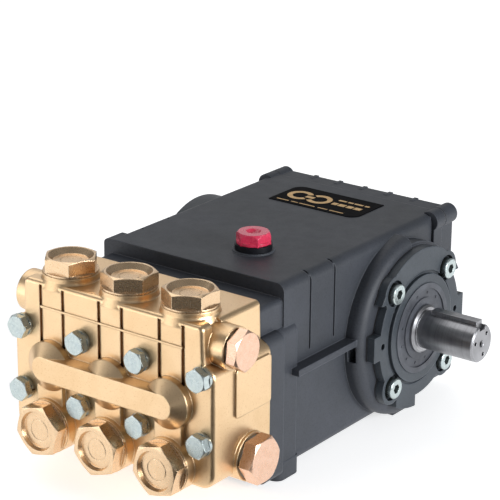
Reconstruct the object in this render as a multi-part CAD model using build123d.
from build123d import *
from math import atan2, cos, degrees, radians, sin, sqrt
import os

# Triplex plunger pump, millimetres. X runs along the crankshaft to the driven end, Y from the brass
# manifold to the rear cover, Z up. The origin is the centre of the four mounting holes on the foot plane.

# driving dimensions
PITCH = 55.0                    # spacing of the three cylinders
CYLINDERS = (-PITCH, 0.0, PITCH)
SHAFT_R = 15.0                  # driven end of the crankshaft, 30 mm
CRANK_Y = 47.0
CRANK_Z = 77.0                  # crank and plunger axis above the feet
THROW = 10.0                    # crank throw, so a 20 mm stroke
PHASES = (0.0, 120.0, 240.0)    # crankpin angles from +Y towards +Z
ROD_LENGTH = 95.0

# crankcase
CASE_HALF = 82.5
CASE_TOP = CRANK_Z + 75.0
CASE_BOTTOM = 6.0
LIP_Y = -105.0                  # front of the crankcase lid lip
LIP_DROP = 11.0
JOINT_Y = 106.0                 # joint with the rear cover
REAR_Y = 126.0
WALL = 9.0
FLOOR = 6.0                     # thickness under the crank chamber
FRONT_WALL = (-105.0, -93.0)    # bulkhead that carries the plunger oil seals
GUIDE_END = -16.0               # rear end of the crosshead guides
BULGE_R = 73.0                  # bearing housing on the driven side
BULGE_ROUND = 8.0
BLIND_R = 63.0                  # bearing housing on the other side
BOSS_FACE = 96.0
COVER_FACE = 103.5              # outer face of the driven bearing cover
BLIND_FACE = 118.0              # outer face of the blind bearing cover
EAR_REACH = 63.5                # driven bearing cover ears from the crank axis
CHEEK_RISE = 33.0               # top of the flange behind the manifold, from its middle
RIM_HALF = 84.5                 # flange at the joint with the rear cover
REAR_X = 79.5                   # rear cover screws
REAR_LUG_R = 8.0
FILLER_X = 20.0
FILLER_Y = -58.0
SIGHT_Z = CRANK_Z - 8.0
DRAIN_Z = CRANK_Z - 47.0
FOOT_X = 60.0                   # mounting holes
FOOT_Y = 100.0
FOOT_R = 4.25

# manifold
FACE_Y = -200.0                 # front face of the brass manifold
BACK_Y = -134.0
MID_Z = CRANK_Z + 10.0          # middle of the eight manifold bolts
LOWER_HALF = 92.0
UPPER_HALF = 82.0
TOP_Z = MID_Z + 61.5
SHOULDER_Z = MID_Z + 29.0
BOTTOM_Z = MID_Z - 60.0
BOLT_X = (-1.5 * PITCH, -0.5 * PITCH, 0.5 * PITCH, 1.5 * PITCH)
BOLT_RISE = 24.75
OUT_Y = FACE_Y + 21.6           # vertical axis of the discharge valves
OUT_Z = MID_Z + 42.7            # discharge gallery
IN_Z = MID_Z - 46.6             # axis of the inlet valves
IN_Y = FACE_Y + 42.0            # inlet gallery
OUT_PORT_R = 9.5                # G1/2 tapping hole
OUT_PORT_X = 69.0               # bottom of the discharge ports, from the middle
OUT_GALLERY_R = 8.0
OUT_END = 95.0                  # face of the discharge port bosses
IN_PORT_R = 12.1                # G3/4 tapping hole
IN_PORT_X = 66.0
IN_GALLERY_R = 10.5
IN_END = 94.5
CAP_AF = 36.0
CAP_H = 12.0
TOP_TURN = (7.0, 37.0, 29.0)    # how far each cap was screwed round
FRONT_TURN = (14.0, 18.0, 15.0)
VALVE_R = 13.0
TOP_SEAT_Z = TOP_Z + 5.0
FRONT_SEAT_Y = FACE_Y - 8.0

# valves: the seat rests at 0 along the valve axis and the poppet lifts to +
LIFT = 3.0
SEAT_H = 6.0
TOP_VALVE_Z = CRANK_Z + 33.0
FRONT_VALVE_Y = FACE_Y + 26.0
CAGE_TOP_H = 26.0
CAGE_FRONT_H = 16.6

# plunger train
PLUNGER_R = 11.0
STEM_R = 9.0
CROSSHEAD_R = 20.0
GAP = 0.05                      # radial running clearance
WRIST_R = 7.0
PIN_R = 13.0                    # crankpins
EYE_R = 37.6                    # the opened big end clears the crankpin in every pose
RING_R = 43.4

# crankshaft bearings
BEARING_X = (74.0, 94.0)
JOURNAL_R = 20.0
RACE_IN_R = 27.0
RACE_OUT_R = 33.0
HOUSING_R = 40.0
SEAL_R = 36.0
COLLAR_R = 19.0
SHAFT_END = 159.0
SCREW_Y = 36.8                  # bearing cover screws from the crank axis
SCREW_Z = 38.6
HEAD_R = 8.0                    # bearing cover screw heads
HEAD_H = 8.0
LOBE_R = 13.5                   # cover lobes round the screws
GASKET = 0.6
DRIVE_SCREW_X = COVER_FACE - 4.1    # seats of the cover screw heads
BLIND_SCREW_X = BLIND_FACE - 14.0
KEY_X = (116.0, SHAFT_END - 3.0)
CHEEK_TOP = MID_Z + CHEEK_RISE
COVER_SCREWS = [(dy, dz) for dy in (-SCREW_Y, SCREW_Y) for dz in (-SCREW_Z, SCREW_Z)]
REAR_SCREWS = ((-REAR_X, CRANK_Z + 69), (REAR_X, CRANK_Z + 69), (-REAR_X, CRANK_Z - 60),
               (REAR_X, CRANK_Z - 60), (-REAR_X + 2, CRANK_Z + 3), (REAR_X - 2, CRANK_Z + 3))

os.makedirs("parts", exist_ok=True)


# ---------------------------------------------------------------- primitives
def axis_plane(axis, start, p, q):
    """Plane whose normal is a row axis: x takes (y, z), y takes (x, z), z takes (x, y)."""
    if axis == "x":
        return Plane(origin=(start, p, q), x_dir=(0, 1, 0), z_dir=(1, 0, 0))
    if axis == "y":
        return Plane(origin=(p, start, q), x_dir=(1, 0, 0), z_dir=(0, 1, 0))
    return Plane(origin=(p, q, start), x_dir=(1, 0, 0), z_dir=(0, 0, 1))


def disc(axis, r, a, b, p, q):
    return extrude(axis_plane(axis, a, p, q) * Circle(r), b - a)


def tube(axis, r_out, r_in, a, b, p, q):
    return disc(axis, r_out, a, b, p, q) - disc(axis, r_in, a, b, p, q)


def cone(axis, r1, r2, a, b, p, q):
    low = axis_plane(axis, a, p, q) * Circle(r1)
    high = axis_plane(axis, b, p, q) * Circle(r2)
    return loft([low, high])


def block(x0, x1, y0, y1, z0, z1):
    return Pos((x0 + x1) / 2, (y0 + y1) / 2, (z0 + z1) / 2) * Box(x1 - x0, y1 - y0, z1 - z0)


def side_block(side, x0, x1, y0, y1, z0, z1):
    """Block given for the +X side, on the side wanted (+1 or -1)."""
    near, far = sorted((side * x0, side * x1))
    return block(near, far, y0, y1, z0, z1)


def hexagon(axis, flats, a, b, p, q, turn=0.0, bevel=0.0):
    """Hexagonal prism; a bevel rounds the corners off at the far end b as on a bolt head."""
    corner_r = flats / sqrt(3)
    prism = extrude(axis_plane(axis, a, p, q) * RegularPolygon(corner_r, 6, rotation=turn), b - a)
    if bevel:
        step = bevel if b > a else -bevel
        inner = flats / 2 - 0.2
        turned = disc(axis, corner_r + 1, a, b - step, p, q)
        turned += cone(axis, corner_r + 0.1, inner, b - step, b, p, q)
        prism = prism & turned
    return prism


def group(shapes):
    return Compound(children=list(shapes))


def save(name, shape):
    export_step(shape, "parts/" + name + ".step")


def mirror_x(shape):
    return mirror(shape, about=Plane.YZ)


# ---------------------------------------------------------------- manifold
def manifold_outline():
    points = [
        (-LOWER_HALF, BOTTOM_Z), (LOWER_HALF, BOTTOM_Z), (LOWER_HALF, SHOULDER_Z),
        (UPPER_HALF + 1, SHOULDER_Z + 4), (UPPER_HALF, TOP_Z), (-UPPER_HALF, TOP_Z),
        (-UPPER_HALF - 1, SHOULDER_Z + 4), (-LOWER_HALF, SHOULDER_Z),
    ]
    face = Plane(origin=(0, BACK_Y, 0), x_dir=(1, 0, 0), z_dir=(0, -1, 0)) * make_face(
        Polyline(*points, close=True))
    low = face.vertices().filter_by_position(Axis.Z, BOTTOM_Z - 1, BOTTOM_Z + 1)
    return fillet(low, 12.0)


def manifold():
    depth = BACK_Y - FACE_Y
    body = extrude(manifold_outline(), depth)
    side = body.edges().filter_by(Axis.Y)
    shoulder = side.filter_by_position(Axis.Z, SHOULDER_Z - 1, SHOULDER_Z + 1)
    body = fillet(shoulder, 8.0)
    crown = body.edges().filter_by(Axis.Y).filter_by_position(Axis.Z, TOP_Z - 1, TOP_Z + 1)
    body = fillet(crown, 4.0)
    body = fillet(body.faces().sort_by(Axis.Y)[0].edges(), 3.0)

    # recesses beside the discharge ports, behind the front plate
    for side in (-1, 1):
        body -= side_block(side, 75, 120, FACE_Y + 11, FACE_Y + 22, SHOULDER_Z + 5, TOP_Z + 10)
        body += disc("x", 15.8, side * 60, side * OUT_END, OUT_Y, OUT_Z)
        pad = side_block(side, 88, 93.6, FACE_Y + 24, BACK_Y - 1, MID_Z - 12, SHOULDER_Z - 4)
        body += fillet(pad.edges().filter_by(Axis.X), 3.0)
        body += disc("x", 18.5, side * 76, side * IN_END, IN_Y, IN_Z)

    # bosses that carry the valve caps
    for x in CYLINDERS:
        body += cone("z", 23.5, 21.0, TOP_Z - 5, TOP_Z + 1.5, x, OUT_Y)
        body += disc("z", 21.0, TOP_Z + 1, TOP_Z + 5, x, OUT_Y)
        body += disc("y", 20.8, FACE_Y - 8, FACE_Y + 20, x, IN_Z)
        body += block(x - 12, x + 12, FACE_Y - 4.5, FACE_Y + 1, IN_Z + 10, MID_Z - 6)
        # front bosses of the plunger chambers, tapering into the gallery bar
        body += disc("y", 18.8, FACE_Y - 6, FACE_Y + 1, x, MID_Z)
        body += cone("y", 9.0, 18.8, FACE_Y - 13, FACE_Y - 6, x, MID_Z)
    bar = SlotCenterToCenter(2 * PITCH, 18.4)
    body += extrude(Plane(origin=(0, FACE_Y + 1, MID_Z), x_dir=(1, 0, 0), z_dir=(0, -1, 0)) * bar, 14.0)

    # casting grooves beside each cylinder and the raised bead across them
    for x in CYLINDERS:
        for offset in (-10.5, 10.5):
            body -= block(x + offset - 1.4, x + offset + 1.4, FACE_Y - 1, FACE_Y + 2.6,
                          IN_Z + 18, TOP_Z - 2.5)
    body += block(-65.5, 65.5, FACE_Y - 1.3, FACE_Y + 3, OUT_Z - 0.8, OUT_Z + 0.8)

    # galleries, ports, valve chambers and plunger bores
    body -= disc("x", OUT_GALLERY_R, -OUT_PORT_X, OUT_PORT_X, OUT_Y, OUT_Z)
    body -= disc("x", IN_GALLERY_R, -IN_PORT_X, IN_PORT_X, IN_Y, IN_Z)
    for side in (-1, 1):
        body -= disc("x", OUT_PORT_R, side * OUT_PORT_X, side * 130, OUT_Y, OUT_Z)
        body -= disc("x", IN_PORT_R, side * IN_PORT_X, side * 130, IN_Y, IN_Z)
    for x in CYLINDERS:
        body -= disc("z", VALVE_R, CRANK_Z + 33, TOP_Z + 30, x, OUT_Y)
        body -= disc("z", 7.5, CRANK_Z, CRANK_Z + 34, x, OUT_Y)
        body -= disc("y", VALVE_R, FACE_Y - 30, FACE_Y + 26, x, IN_Z)
        body -= disc("y", 7.5, FACE_Y + 25, IN_Y, x, IN_Z)
        body -= disc("z", 6.5, IN_Z, CRANK_Z, x, FACE_Y + 6)
        body -= disc("y", PLUNGER_R + 1.0, FACE_Y + 2, BACK_Y + 1, x, CRANK_Z)
        body -= disc("y", 16.0, BACK_Y - 28, BACK_Y + 1, x, CRANK_Z)
    for x in BOLT_X:
        for z in (MID_Z - BOLT_RISE, MID_Z + BOLT_RISE):
            body -= disc("y", 5.25, FACE_Y - 20, BACK_Y + 1, x, z)
            body -= disc("y", 10.2, FACE_Y - 20, FACE_Y - 0.001, x, z)
    return body


def valve_cap(turn, rim_r, floor_r, dish):
    """Screw cap drawn along +Z with its seat at z = 0 and a dished hexagon above."""
    cap = disc("z", VALVE_R - 0.05, -11, 0, 0, 0)
    cap += disc("z", 20.4, 0, 1.6, 0, 0)
    cap += hexagon("z", CAP_AF, 1.6, CAP_H, 0, 0, turn=turn, bevel=1.2)
    cap -= cone("z", floor_r, rim_r, CAP_H - dish, CAP_H + 0.01, 0, 0)
    cap -= tube("z", floor_r * 0.60, floor_r * 0.56, CAP_H - dish - 0.25, CAP_H - dish + 0.1, 0, 0)
    cap -= tube("z", VALVE_R + 1, VALVE_R - 2.2, -4.0, -1.4, 0, 0)
    cap -= disc("z", 6.5, -12, -6.5, 0, 0)
    return cap


def place_top(x, shape):
    return Pos(x, OUT_Y, TOP_SEAT_Z) * shape


def place_front(x, shape):
    return Pos(x, FRONT_SEAT_Y, IN_Z) * Rot(90, 0, 0) * shape


def top_valve_caps():
    return group(place_top(x, valve_cap(t, 16.8, 13.0, 4.0)) for x, t in zip(CYLINDERS, TOP_TURN))


def bottom_valve_caps():
    return group(place_front(x, valve_cap(t, 15.2, 14.0, 3.2)) for x, t in zip(CYLINDERS, FRONT_TURN))


def cap_o_rings():
    ring = tube("z", VALVE_R - 0.05, VALVE_R - 2.15, -3.9, -1.5, 0, 0)
    return group([place_top(x, ring) for x in CYLINDERS] + [place_front(x, ring) for x in CYLINDERS])


def valve_seat():
    seat = tube("z", VALVE_R - 0.05, 7.0, 0, SEAT_H, 0, 0)
    return seat - cone("z", 7.0, 9.6, SEAT_H - 2.0, SEAT_H + 0.01, 0, 0)


def valve_poppet():
    """Disc poppet with a conical face, a little above its seat so that nothing touches."""
    head = cone("z", 7.6, 9.9, SEAT_H - 1.1, SEAT_H + 1.2, 0, 0)
    head += disc("z", 9.9, SEAT_H + 1.2, SEAT_H + 3.0, 0, 0)
    head += disc("z", 3.0, SEAT_H + 3.0, SEAT_H + 9.0, 0, 0)
    return head


def valve_cage(height):
    """Cage over the poppet: ring on the seat, four legs and a bridge that stops the spring."""
    top = SEAT_H + height
    cage = tube("z", VALVE_R - 0.1, 11.2, SEAT_H, SEAT_H + 2.0, 0, 0)
    cage += tube("z", VALVE_R - 0.1, 3.8, top - 3.0, top, 0, 0)
    ring = tube("z", VALVE_R - 0.1, 11.2, SEAT_H, top, 0, 0)
    legs = block(-30, 30, -2, 2, SEAT_H, top) + block(-2, 2, -30, 30, SEAT_H, top)
    return cage + (ring & legs)


def valve_spring(start, end, turns=4):
    height = end - start - 1.4
    path = Pos(0, 0, start + 0.7) * Helix(height / turns, height, 5.2)
    wire_plane = Plane(origin=path @ 0, z_dir=path % 0)
    return sweep(wire_plane * Circle(0.6), path)


def at_top_valve(x, shape):
    return Pos(x, OUT_Y, TOP_VALVE_Z) * shape


def at_front_valve(x, shape):
    return Pos(x, FRONT_VALVE_Y, IN_Z) * Rot(90, 0, 0) * shape


def valve_seats():
    seat = valve_seat()
    return group([at_top_valve(x, seat) for x in CYLINDERS] + [at_front_valve(x, seat) for x in CYLINDERS])


def valve_cages():
    return group([at_top_valve(x, valve_cage(CAGE_TOP_H)) for x in CYLINDERS]
                 + [at_front_valve(x, valve_cage(CAGE_FRONT_H)) for x in CYLINDERS])


def manifold_bolts():
    bolts = []
    turns = (0.0, 20.0, 8.0, 27.0, 14.0, 5.0, 22.0, 10.0)
    for k, z in enumerate((MID_Z + BOLT_RISE, MID_Z - BOLT_RISE)):
        for i, x in enumerate(BOLT_X):
            head = hexagon("y", 16.0, FACE_Y - 2.6, FACE_Y - 9.0, x, z, turns[4 * k + i], 0.9)
            bolts.append(head + disc("y", 5.0, FACE_Y - 3.0, BACK_Y + 18, x, z))
    return group(bolts)


def lock_washers():
    washers = []
    for i, x in enumerate(BOLT_X):
        for k, z in enumerate((MID_Z - BOLT_RISE, MID_Z + BOLT_RISE)):
            gap = Rot(0, 47.0 * i + 80.0 * k, 0) * block(4, 10, FACE_Y - 3, FACE_Y + 1, -0.7, 0.7)
            washers.append(tube("y", 8.7, 5.2, FACE_Y - 2.6, FACE_Y, x, z) - Pos(x, 0, z) * gap)
    return group(washers)


def side_plug(r, flats, y, z, face_x, turn, seat_x):
    plug = disc("x", r - 0.03, seat_x - 14, seat_x + 1.6, y, z)
    plug += hexagon("x", flats, seat_x + 1.6, face_x, y, z, turn, 1.4)
    return plug


def discharge_plug():
    return side_plug(OUT_PORT_R, 27.0, OUT_Y, OUT_Z, 105.0, 24.0, OUT_END)


def inlet_plug():
    return side_plug(IN_PORT_R, 32.0, IN_Y, IN_Z, 106.5, 4.0, IN_END)


def plug_washers():
    return group([
        tube("x", 13.2, OUT_PORT_R + 0.1, OUT_END, OUT_END + 1.6, OUT_Y, OUT_Z),
        tube("x", 16.4, IN_PORT_R + 0.1, IN_END, IN_END + 1.6, IN_Y, IN_Z),
    ])


# ---------------------------------------------------------------- crankcase
def cover_outline(x0, x1):
    """Driven bearing cover seen along the shaft: crown, four screw lobes, two ears and a lower lug."""
    shape = disc("x", 56.0, x0, x1, CRANK_Y, CRANK_Z)
    shape += disc("x", 64.0, x0, x1, CRANK_Y, CRANK_Z) & block(x0, x1, -300, 300, CRANK_Z + 33, 300)
    lug = block(x0, x1, CRANK_Y - 30, CRANK_Y - 3, CRANK_Z - 70, CRANK_Z - 40)
    shape += disc("x", 65.0, x0, x1, CRANK_Y, CRANK_Z) & lug
    for dy, dz in COVER_SCREWS:
        shape += disc("x", LOBE_R, x0, x1, CRANK_Y + dy, CRANK_Z + dz)
    return shape + block(x0, x1, CRANK_Y - EAR_REACH, CRANK_Y + EAR_REACH, CRANK_Z - 10, CRANK_Z + 10)


def crankcase():
    shell = block(-CASE_HALF, CASE_HALF, LIP_Y, JOINT_Y, CASE_BOTTOM, CASE_TOP)
    shell = fillet(shell.edges().filter_by(Axis.Y), 7.0)
    # the lid lip stands ahead of the neck that reaches the manifold
    neck_top = CASE_TOP - LIP_DROP
    neck = block(-81, 81, BACK_Y, LIP_Y + 5, CASE_BOTTOM + 4, neck_top)
    neck = fillet(neck.edges().filter_by(Axis.Y).group_by(Axis.Z)[-1], 4.0)
    shell += neck
    for half, depth in ((90, 20), (85.5, 42)):
        cheek = block(-half, half, BACK_Y, BACK_Y + depth, CASE_BOTTOM, CHEEK_TOP)
        shell += fillet(cheek.edges().filter_by(Axis.Y), 7.0)

    # bearing housings: the driven one bulges to the front and top, the blind one is a plain drum
    bulge = disc("x", BULGE_R, 60, BOSS_FACE, CRANK_Y, CRANK_Z)
    bulge = fillet(bulge.edges().group_by(Axis.X)[-1], BULGE_ROUND)
    shell += bulge & block(0, 150, -300, CRANK_Y - 4, CASE_BOTTOM + 0.5, CASE_TOP - 2)
    crown = disc("x", 66.5, 60, BOSS_FACE - 2, CRANK_Y, CRANK_Z)
    shell += crown & block(0, 150, CRANK_Y - 6, 300, CRANK_Z, CASE_TOP - 2)
    shell += cover_outline(60, BOSS_FACE)
    # pocket in the bulge behind the front ear of the cover
    shell -= block(CASE_HALF + 3, BOSS_FACE - 4, -40, CRANK_Y - 58, CRANK_Z - 10, CRANK_Z + 3)
    shell += disc("x", BLIND_R, -60, -BOSS_FACE, CRANK_Y, CRANK_Z)
    # fins at shaft height from the front cheeks to the housings
    for side in (-1, 1):
        shell += side_block(side, CASE_HALF - 1, CASE_HALF + 10, -99, CRANK_Y - 60, CRANK_Z + 4, CRANK_Z + 9)
    # the housings overhang the rear cover, so they start outside it
    shell -= block(-88.2, 88.2, JOINT_Y, 200, 0, 200)

    # inner space: crank chamber, crosshead guides and the open neck
    inner_x = CASE_HALF - WALL
    chamber = block(-inner_x, inner_x, FRONT_WALL[1], JOINT_Y + 1, CASE_BOTTOM + FLOOR, CASE_TOP - WALL)
    shell -= chamber
    shell -= block(-72, 72, BACK_Y - 1, FRONT_WALL[0], CASE_BOTTOM + 26, neck_top - 8)
    for x in CYLINDERS:
        shell += disc("y", CROSSHEAD_R + 6, FRONT_WALL[1] - 1, GUIDE_END, x, CRANK_Z)
    shell += block(-inner_x - 1, inner_x + 1, FRONT_WALL[1] - 1, GUIDE_END - 8, CRANK_Z - 4, CRANK_Z + 4)
    for x in CYLINDERS:
        shell -= disc("y", CROSSHEAD_R + GAP, FRONT_WALL[1], GUIDE_END + 1, x, CRANK_Z)
        shell -= disc("y", 15.0, FRONT_WALL[0] - 1, FRONT_WALL[1] - 3, x, CRANK_Z)
        shell -= disc("y", STEM_R + 0.6, FRONT_WALL[0] - 1, FRONT_WALL[1] + 1, x, CRANK_Z)
    shell -= disc("x", HOUSING_R, -130, 130, CRANK_Y, CRANK_Z)

    # solid pads behind the manifold bolts, tapped
    for x in BOLT_X:
        for z in (MID_Z - BOLT_RISE, MID_Z + BOLT_RISE):
            if abs(x) < 70:
                shell += disc("y", 9.5, BACK_Y, FRONT_WALL[0] + 0.5, x, z)
            shell -= disc("y", 5.05, BACK_Y - 1, BACK_Y + 20, x, z)

    # small ear on the front left corner of the lid
    ear = block(-CASE_HALF - 4, -CASE_HALF + 12, LIP_Y, LIP_Y + 18, CASE_TOP - 20, CASE_TOP - 0.5)
    shell += fillet(ear.edges().filter_by(Axis.Y), 4.0)

    # feet with tapped mounting holes
    for side in (-1, 1):
        foot = side_block(side, 46, 86, -114, -86, 0, CASE_BOTTOM + 8)
        shell += fillet(foot.edges().filter_by(Axis.Z), 7.0)
        shell += side_block(side, 44, 72, 86, 106, 0, CASE_BOTTOM + 8)
        shell += side_block(side, 62, 86, 40, 67, 0, CASE_BOTTOM + 8)
        for y in (-FOOT_Y, FOOT_Y):
            shell -= disc("z", FOOT_R, -1, 11, side * FOOT_X, y)

    # casting lines on the sides and the screw holes
    for side in (-1, 1):
        for y in (-72.0, -41.0, 94.0):
            shell -= side_block(side, CASE_HALF - 1.6, 90, y - 1, y + 1, CRANK_Z + 15, CASE_TOP + 1)
            shell -= side_block(side, CASE_HALF - 8, 90, y - 1, y + 1, CASE_TOP - 2, CASE_TOP + 1)
        for dy, dz in COVER_SCREWS:
            deep, mouth = side * (BOSS_FACE - 18), side * (BOSS_FACE + 1)
            shell -= disc("x", 4.3, deep, mouth, CRANK_Y + dy, CRANK_Z + dz)
    flange = block(-RIM_HALF, RIM_HALF, JOINT_Y - 12, JOINT_Y, CASE_BOTTOM + 3, CASE_TOP - 0.2)
    flange = fillet(flange.edges().filter_by(Axis.Y), 8.0)
    shell += flange - block(-70, 70, 0, 200, CASE_BOTTOM + FLOOR, CASE_TOP - WALL)
    for x, z in REAR_SCREWS:
        shell += disc("y", REAR_LUG_R, JOINT_Y - 12, JOINT_Y, x, z)
        shell -= disc("y", 3.4, JOINT_Y - 11, JOINT_Y + 1, x, z)

    # filler boss on the lid
    shell += disc("z", 16.0, CASE_TOP - 3, CASE_TOP + 1.2, FILLER_X, FILLER_Y)
    shell -= disc("z", 8.0, CASE_TOP - WALL - 2, CASE_TOP + 2, FILLER_X, FILLER_Y)
    return shell


def rear_cover():
    y0 = JOINT_Y + 1.0
    cover = block(-84.0, 84.0, y0, REAR_Y - 4, CASE_BOTTOM + 3, CASE_TOP - 0.5)
    cover = fillet(cover.edges().filter_by(Axis.Y), 9.0)
    crown = block(-75, 75, y0, REAR_Y, CASE_BOTTOM + 12, CASE_TOP - 9)
    cover += fillet(crown.edges().filter_by(Axis.Y), 9.0)
    for k in range(-2, 3):
        x = 24.4 * k
        cover += block(x - 1.4, x + 1.4, y0 + 8, REAR_Y + 1.4, CASE_BOTTOM + 8, CASE_TOP - 8)
        cover += block(x - 1.8, x + 1.8, y0 + 8, REAR_Y - 2.2, CASE_BOTTOM + 8, CASE_TOP - 0.1)
    for x, z in REAR_SCREWS:
        cover += disc("y", REAR_LUG_R, y0, REAR_Y - 2.5, x, z)
    cover -= block(-66, 66, y0 - 1, REAR_Y - 8, CASE_BOTTOM + 20, CASE_TOP - 18)
    cover += disc("y", 19.0, y0 + 2, REAR_Y + 3.0, 0, SIGHT_Z)
    cover -= disc("y", 14.0, y0 - 1, REAR_Y + 4.0, 0, SIGHT_Z)
    cover += disc("y", 13.0, y0 + 2, REAR_Y + 2.0, 0, DRAIN_Z)
    cover -= disc("y", 6.6, y0 - 1, REAR_Y + 3.0, 0, DRAIN_Z)
    for x, z in REAR_SCREWS:
        cover -= disc("y", 4.4, y0 - 1, REAR_Y, x, z)
        cover -= disc("y", 7.0, REAR_Y - 6.5, REAR_Y, x, z)
    return cover


def rear_gasket():
    sheet = fillet(block(-82, 82, JOINT_Y, JOINT_Y + 1.0, CASE_BOTTOM + 3.5,
                         CASE_TOP - 1).edges().filter_by(Axis.Y), 9.0)
    for x, z in REAR_SCREWS:
        sheet += disc("y", REAR_LUG_R - 0.3, JOINT_Y, JOINT_Y + 1.0, x, z)
    sheet -= block(-65, 65, JOINT_Y - 1, JOINT_Y + 2, CASE_BOTTOM + 21, CASE_TOP - 19)
    for x, z in REAR_SCREWS:
        sheet -= disc("y", 4.4, JOINT_Y - 1, JOINT_Y + 2, x, z)
    return sheet


def socket_screw(axis_sign, r, head_r, head_h, length):
    """Socket-head screw along +X: head starts at x = 0, shank runs to -length."""
    screw = disc("x", head_r, 0, head_h, 0, 0)
    screw = chamfer(screw.edges().group_by(Axis.X)[-1], 0.7)
    screw += disc("x", r, -length, 0.5, 0, 0)
    screw -= hexagon("x", r * 1.62, head_h - r, head_h + 1, 0, 0)
    return screw if axis_sign > 0 else mirror_x(screw)


def rear_cover_screws():
    screw = socket_screw(1, 3.3, 6.5, 6.5, 24.0)
    return group(Pos(x, REAR_Y - 6.5, z) * Rot(0, 0, 90) * screw for x, z in REAR_SCREWS)


def sight_glass_ring():
    ring = tube("y", 13.9, 8.4, REAR_Y - 6, REAR_Y + 3, 0, SIGHT_Z)
    nut = hexagon("y", 32.0, REAR_Y + 3, REAR_Y + 8, 0, SIGHT_Z, 10.0, 1.0)
    return ring + (nut - disc("y", 8.4, REAR_Y, REAR_Y + 9, 0, SIGHT_Z))


def sight_glass_lens():
    return disc("y", 8.35, REAR_Y - 2, REAR_Y + 5.5, 0, SIGHT_Z)


def drain_plug():
    plug = disc("y", 6.5, REAR_Y - 10, REAR_Y + 3.6, 0, DRAIN_Z)
    plug += disc("y", 11.0, REAR_Y + 2.0, REAR_Y + 3.6, 0, DRAIN_Z)
    return plug + hexagon("y", 17.0, REAR_Y + 3.6, REAR_Y + 10, 0, DRAIN_Z, 4.0, 1.0)


def drive_bearing_cover():
    x0, x1 = BOSS_FACE + GASKET, COVER_FACE
    plate = cover_outline(x0, x1)
    plate += tube("x", 43.0, SEAL_R - 3, x1 - 2, x1 + 1.8, CRANK_Y, CRANK_Z)
    plate -= tube("x", 45.5, 43.0, x1 - 1.5, x1 + 3, CRANK_Y, CRANK_Z)
    plate += disc("x", HOUSING_R - 0.05, BEARING_X[1] + 0.3, x0 + 0.5, CRANK_Y, CRANK_Z)
    plate -= disc("x", SEAL_R, x0 + 0.4, x1 + 6, CRANK_Y, CRANK_Z)
    plate -= disc("x", 31.0, BEARING_X[1], x1, CRANK_Y, CRANK_Z)
    for dy, dz in COVER_SCREWS:
        y, z = CRANK_Y + dy, CRANK_Z + dz
        plate -= disc("x", HEAD_R + 2.4, DRIVE_SCREW_X, x1 + 20, y, z)
        plate -= disc("x", 5.4, x0 - 5, x1, y, z)
    for side in (-1, 1):
        plate -= disc("x", 2.6, x0 - 5, x1 + 5, CRANK_Y + side * 51.8, CRANK_Z)
    return plate


def blind_bearing_cover():
    """Drum-shaped cover drawn for +X and mirrored to the side without a shaft end."""
    x0, x1 = BOSS_FACE + GASKET, BLIND_FACE
    plate = disc("x", BLIND_R, x0, x1 - 4, CRANK_Y, CRANK_Z)
    plate += cone("x", BLIND_R, BLIND_R - 5, x1 - 4, x1, CRANK_Y, CRANK_Z)
    for dy, dz in COVER_SCREWS:
        plate += disc("x", LOBE_R, x0, x1 - 6, CRANK_Y + dy, CRANK_Z + dz)
    plate -= disc("x", 22.0, x1 - 2.5, x1 + 1, CRANK_Y, CRANK_Z)
    plate += disc("x", HOUSING_R - 0.05, BEARING_X[1] + 0.3, x0 + 0.5, CRANK_Y, CRANK_Z)
    plate -= disc("x", 30.0, BEARING_X[1], x0 + 6, CRANK_Y, CRANK_Z)
    for dy, dz in COVER_SCREWS:
        y, z = CRANK_Y + dy, CRANK_Z + dz
        plate -= disc("x", HEAD_R + 2.4, BLIND_SCREW_X, x1 + 20, y, z)
        plate -= disc("x", 5.4, x0 - 5, x1, y, z)
    return mirror_x(plate)


def bearing_cover_gaskets():
    x0, x1 = BOSS_FACE, BOSS_FACE + GASKET
    sheets = [cover_outline(x0, x1), disc("x", BLIND_R - 0.5, -x1, -x0, CRANK_Y, CRANK_Z)]
    for i, side in enumerate((1, -1)):
        sheets[i] -= disc("x", HOUSING_R, side * (x0 - 1), side * (x1 + 1), CRANK_Y, CRANK_Z)
        for dy, dz in COVER_SCREWS:
            sheets[i] -= disc("x", 5.4, side * (x0 - 1), side * (x1 + 1), CRANK_Y + dy, CRANK_Z + dz)
    return group(sheets)


def bearing_cover_screws():
    screws = []
    for side, seat in ((1, DRIVE_SCREW_X), (-1, BLIND_SCREW_X)):
        screw = socket_screw(side, 4.2, HEAD_R, HEAD_H, seat - BOSS_FACE + 16.0)
        for dy, dz in COVER_SCREWS:
            screws.append(Pos(side * seat, CRANK_Y + dy, CRANK_Z + dz) * screw)
    return group(screws)


def shaft_seal():
    seal = tube("x", SEAL_R - 0.03, COLLAR_R + GAP, 97.1, 106.0, CRANK_Y, CRANK_Z)
    seal -= tube("x", 31.5, 24.5, 104.9, 107.0, CRANK_Y, CRANK_Z)
    for k in range(12):
        turn = radians(30 * k + 15)
        seal += disc("x", 1.0, 104.0, 105.4, CRANK_Y + 28 * cos(turn), CRANK_Z + 28 * sin(turn))
    return seal


def bearing_outer_races():
    race = tube("x", HOUSING_R - 0.02, RACE_OUT_R, BEARING_X[0], BEARING_X[1], CRANK_Y, CRANK_Z)
    return group([race, mirror_x(race)])


def bearing_inner_races():
    race = tube("x", RACE_IN_R, JOURNAL_R + 0.01, BEARING_X[0] + 0.3, BEARING_X[1] - 0.3, CRANK_Y, CRANK_Z)
    return group([race, mirror_x(race)])


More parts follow.
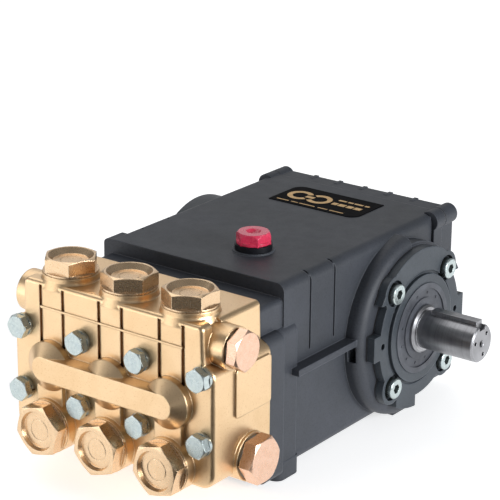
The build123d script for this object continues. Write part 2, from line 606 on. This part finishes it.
def bearing_rollers():
    centre_r = (RACE_IN_R + RACE_OUT_R) / 2
    roller_r = (RACE_OUT_R - RACE_IN_R) / 2 - 0.05
    cage = tube("x", centre_r + 1.4, centre_r - 1.4, BEARING_X[0] + 1.0, BEARING_X[1] - 1.0, CRANK_Y, CRANK_Z)
    rollers = []
    for k in range(14):
        turn = radians(360 / 14 * k)
        y, z = CRANK_Y + centre_r * cos(turn), CRANK_Z + centre_r * sin(turn)
        cage -= disc("x", roller_r + 0.25, BEARING_X[0] + 3.0, BEARING_X[1] - 3.0, y, z)
        rollers.append(disc("x", roller_r, BEARING_X[0] + 3.4, BEARING_X[1] - 3.4, y, z))
    pieces = [cage] + rollers
    return group(pieces + [mirror_x(p) for p in pieces])


# ---------------------------------------------------------------- crank and plungers
def pin_centre(phase):
    return CRANK_Y + THROW * cos(radians(phase)), CRANK_Z + THROW * sin(radians(phase))


def crankshaft():
    shaft = disc("x", JOURNAL_R, -BEARING_X[1], -67.5, CRANK_Y, CRANK_Z)
    shaft += disc("x", JOURNAL_R, 67.5, BEARING_X[1] + 1.5, CRANK_Y, CRANK_Z)
    shaft += disc("x", COLLAR_R, BEARING_X[1] + 1, 108.0, CRANK_Y, CRANK_Z)
    shaft += cone("x", COLLAR_R, COLLAR_R - 1.6, 108.0, 109.6, CRANK_Y, CRANK_Z)
    for x0, x1 in ((-73.5, -67.5), (-42.5, -12.5), (12.5, 42.5), (67.5, 73.5)):
        shaft += disc("x", 25.0, x0, x1, CRANK_Y, CRANK_Z)
    for x, phase in zip(CYLINDERS, PHASES):
        y, z = pin_centre(phase)
        shaft += disc("x", PIN_R, x - 13.0, x + 13.0, y, z)
    end = disc("x", SHAFT_R, 109.0, SHAFT_END, 0, 0)
    end = chamfer(end.edges().group_by(Axis.X)[-1], 1.2)
    end = Pos(0, CRANK_Y, CRANK_Z) * Rot(15, 0, 0) * end
    shaft += end
    shaft -= block(KEY_X[0], KEY_X[1] + 6, CRANK_Y - 4, CRANK_Y + 4, CRANK_Z + SHAFT_R - 4, CRANK_Z + 30)
    shaft -= disc("x", 2.1, SHAFT_END - 14, SHAFT_END + 1, CRANK_Y, CRANK_Z)
    shaft -= cone("x", 2.1, 3.1, SHAFT_END - 1.2, SHAFT_END + 0.01, CRANK_Y, CRANK_Z)
    for turn in (45.0, 165.0, 285.0):
        y = CRANK_Y + 9.5 * cos(radians(turn))
        z = CRANK_Z + 9.5 * sin(radians(turn))
        shaft -= disc("x", 1.7, SHAFT_END - 10, SHAFT_END + 1, y, z)
    return shaft


def shaft_key():
    key = block(KEY_X[0], KEY_X[1], CRANK_Y - 4, CRANK_Y + 4, CRANK_Z + SHAFT_R - 4, CRANK_Z + SHAFT_R + 3.2)
    return fillet(key.edges().filter_by(Axis.X).group_by(Axis.Z)[-1], 0.5)


def wrist_y(phase):
    y, z = pin_centre(phase)
    return y - sqrt(ROD_LENGTH ** 2 - (z - CRANK_Z) ** 2)


def connecting_rod(x, phase):
    """Rod drawn from its wrist pin towards its crankpin, with the split cap and its two bolts."""
    y, z = pin_centre(phase)
    small = (wrist_y(phase), CRANK_Z)
    lean = degrees(atan2(z - CRANK_Z, y - small[0]))
    ring = tube("x", RING_R, EYE_R, -9, 9, ROD_LENGTH, 0)
    front = ring & block(-20, 20, -200, ROD_LENGTH - 0.3, -100, 100)
    cap = ring & block(-20, 20, ROD_LENGTH + 0.3, 300, -100, 100)
    for sign in (-1, 1):
        z_ear = sign * (RING_R + 3)
        front += block(-8, 8, ROD_LENGTH - 12, ROD_LENGTH - 0.3, z_ear - 5, z_ear + 5)
        cap += block(-8, 8, ROD_LENGTH + 0.3, ROD_LENGTH + 10, z_ear - 5, z_ear + 5)
    front -= disc("x", EYE_R, -20, 20, ROD_LENGTH, 0)
    cap -= disc("x", EYE_R, -20, 20, ROD_LENGTH, 0)
    front += block(-5, 5, 9, ROD_LENGTH - EYE_R - 3, -7.5, 7.5)
    front += disc("x", 12.0, -9, 9, 0, 0)
    front -= disc("x", WRIST_R + GAP, -10, 10, 0, 0)
    solids = [front, cap]
    for sign in (-1, 1):
        z_ear = sign * (RING_R + 4)
        front -= disc("y", 2.6, ROD_LENGTH - 20, ROD_LENGTH + 20, 0, z_ear)
        cap -= disc("y", 2.6, ROD_LENGTH - 20, ROD_LENGTH + 20, 0, z_ear)
        bolt = disc("y", 2.5, ROD_LENGTH - 11, ROD_LENGTH + 10, 0, z_ear)
        bolt += hexagon("y", 8.0, ROD_LENGTH + 10, ROD_LENGTH + 14, 0, z_ear)
        solids.append(bolt)
    solids[0], solids[1] = front, cap
    place = Pos(x, small[0], small[1]) * Rot(lean, 0, 0)
    return group(place * s for s in solids)


def crosshead(x, phase):
    y = wrist_y(phase)
    body = disc("y", CROSSHEAD_R, y - 28, y + 18, x, CRANK_Z)
    body = chamfer(body.edges().filter_by(GeomType.CIRCLE), 1.0)
    body -= block(x - 10, x + 10, y - 15, y + 30, CRANK_Z - 13.5, CRANK_Z + 13.5)
    body -= disc("x", WRIST_R + 0.01, x - 30, x + 30, y, CRANK_Z)
    return body + disc("y", STEM_R, y - 68, y - 27, x, CRANK_Z)


def wrist_pin(x, phase):
    return disc("x", WRIST_R, x - 17.5, x + 17.5, wrist_y(phase), CRANK_Z)


def plunger(x, phase):
    y = wrist_y(phase)
    sleeve = disc("y", PLUNGER_R, y - 128, y - 68, x, CRANK_Z)
    sleeve = chamfer(sleeve.edges().group_by(Axis.Y)[0], 0.8)
    return sleeve - disc("y", 4.05, y - 130, y - 60, x, CRANK_Z)


def plunger_screw(x, phase):
    y = wrist_y(phase)
    screw = disc("y", 4.0, y - 128, y - 68.2, x, CRANK_Z)
    return screw + hexagon("y", 13.0, y - 128, y - 134, x, CRANK_Z, 12.0, 0.8)


def plunger_oil_seals():
    return group(tube("y", 14.95, STEM_R + GAP, FRONT_WALL[0] + 0.5, FRONT_WALL[1] - 3.2, x, CRANK_Z)
                 for x in CYLINDERS)


def packing_seals():
    rings = []
    for x in CYLINDERS:
        for y in (BACK_Y - 27.8, BACK_Y - 15.5):
            rings.append(tube("y", 15.95, PLUNGER_R + GAP, y, y + 6.0, x, CRANK_Z))
    return group(rings)


def packing_retainers():
    rings = []
    for x in CYLINDERS:
        for y0, y1 in ((BACK_Y - 21.7, BACK_Y - 15.6), (BACK_Y - 9.4, BACK_Y - 0.2)):
            rings.append(tube("y", 15.9, PLUNGER_R + 0.4, y0, y1, x, CRANK_Z))
    return group(rings)


# ---------------------------------------------------------------- trim on the lid
def filler_collar():
    collar = tube("z", 14.2, 8.6, CASE_TOP + 1.2, CASE_TOP + 5.6, FILLER_X, FILLER_Y)
    collar += tube("z", 14.2, 6.2, CASE_TOP + 1.2, CASE_TOP + 2.6, FILLER_X, FILLER_Y)
    return collar + tube("z", 7.9, 6.2, CASE_TOP - 9, CASE_TOP + 1.2, FILLER_X, FILLER_Y)


def filler_plug():
    base = CASE_TOP + 5.6
    plug = hexagon("z", 23.6, base, base + 9.0, FILLER_X, FILLER_Y, 20.0, 2.8)
    plug += disc("z", 13.0, base + 0.3, base + 2.4, FILLER_X, FILLER_Y)
    plug -= cone("z", 3.4, 5.8, base + 7.0, base + 9.01, FILLER_X, FILLER_Y)
    plug += disc("z", 5.9, CASE_TOP - 7, base + 0.5, FILLER_X, FILLER_Y)
    return plug


def label_plate():
    plate = block(-43.5, 39.5, 48.0, 90.0, CASE_TOP, CASE_TOP + 0.5)
    corners = plate.edges().filter_by(Axis.Z)
    return fillet(corners.filter_by(lambda e: (e.center().X > 0) != (e.center().Y > 69)), 9.0)


def build():
    save("manifold", manifold())
    save("top_valve_caps", top_valve_caps())
    save("bottom_valve_caps", bottom_valve_caps())
    save("cap_o_rings", cap_o_rings())
    save("valve_seats", valve_seats())
    save("valve_cages", valve_cages())
    save("manifold_bolts", manifold_bolts())
    save("lock_washers", lock_washers())
    save("discharge_plug", discharge_plug())
    save("inlet_plug", inlet_plug())
    save("plug_washers", plug_washers())
    save("crankcase", crankcase())
    save("rear_cover", rear_cover())
    save("rear_cover_gasket", rear_gasket())
    save("rear_cover_screws", rear_cover_screws())
    save("sight_glass_ring", sight_glass_ring())
    save("sight_glass_lens", sight_glass_lens())
    save("drain_plug", drain_plug())
    save("drive_bearing_cover", drive_bearing_cover())
    save("blind_bearing_cover", blind_bearing_cover())
    save("bearing_cover_gaskets", bearing_cover_gaskets())
    save("bearing_cover_screws", bearing_cover_screws())
    save("shaft_seal", shaft_seal())
    save("bearing_outer_races", bearing_outer_races())
    save("bearing_inner_races", bearing_inner_races())
    save("bearing_rollers", bearing_rollers())
    save("crankshaft", crankshaft())
    save("shaft_key", shaft_key())
    save("plunger_oil_seals", plunger_oil_seals())
    save("packing_seals", packing_seals())
    save("packing_retainers", packing_retainers())
    save("filler_collar", filler_collar())
    save("filler_plug", filler_plug())
    save("label_plate", label_plate())
    poppet = valve_poppet()
    spring_low = SEAT_H + 3.0
    for i, (x, phase) in enumerate(zip(CYLINDERS, PHASES), start=1):
        save(f"connecting_rod_{i}", connecting_rod(x, phase))
        save(f"crosshead_{i}", crosshead(x, phase))
        save(f"wrist_pin_{i}", wrist_pin(x, phase))
        save(f"plunger_{i}", plunger(x, phase))
        save(f"plunger_screw_{i}", plunger_screw(x, phase))
        save(f"discharge_poppet_{i}", at_top_valve(x, poppet))
        save(f"inlet_poppet_{i}", at_front_valve(x, poppet))
        save(f"discharge_spring_{i}", at_top_valve(x, valve_spring(spring_low, SEAT_H + CAGE_TOP_H - 3)))
    inlet_spring = valve_spring(spring_low + LIFT + 0.3, SEAT_H + CAGE_FRONT_H - 3)
    save("inlet_springs", group(at_front_valve(x, inlet_spring) for x in CYLINDERS))


build()
